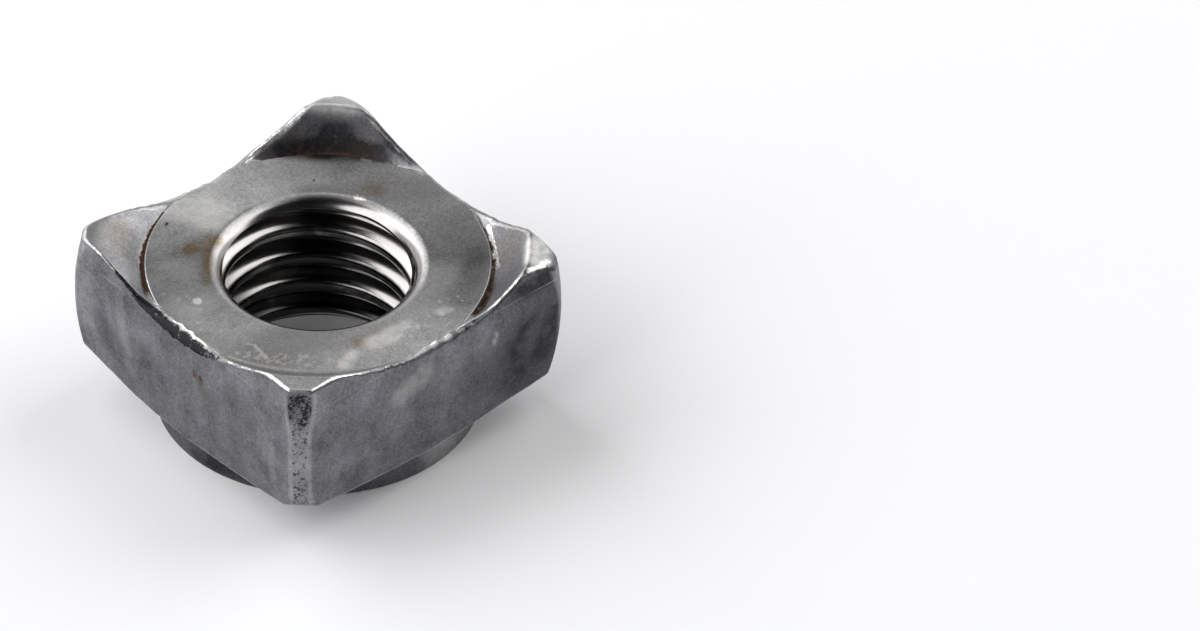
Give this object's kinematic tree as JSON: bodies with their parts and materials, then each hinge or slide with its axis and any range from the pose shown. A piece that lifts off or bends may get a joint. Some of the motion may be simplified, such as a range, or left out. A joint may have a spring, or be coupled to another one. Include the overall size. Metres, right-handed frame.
{
  "type": "square weld nut",
  "caption": "Square steel weld nut with a tapped through hole, a raised round weld face, a projection on each corner and a round collar on its back.",
  "frame": {"origin": "centre of the collar's back face, on the thread's axis, which is the bottom of the part as it lies on its collar", "axes": "+Z along the thread's axis from the collar to the weld face and its projections; X and Y square to the flats"},
  "size_m": [0.013, 0.013, 0.007],
  "materials": {
    "steel": "bare cold-forged steel, dark and lightly oiled, bright on its worn edges"
  },
  "bodies": {
    "root": {"weld_nut": "steel"}
  },
  "joints": []
}
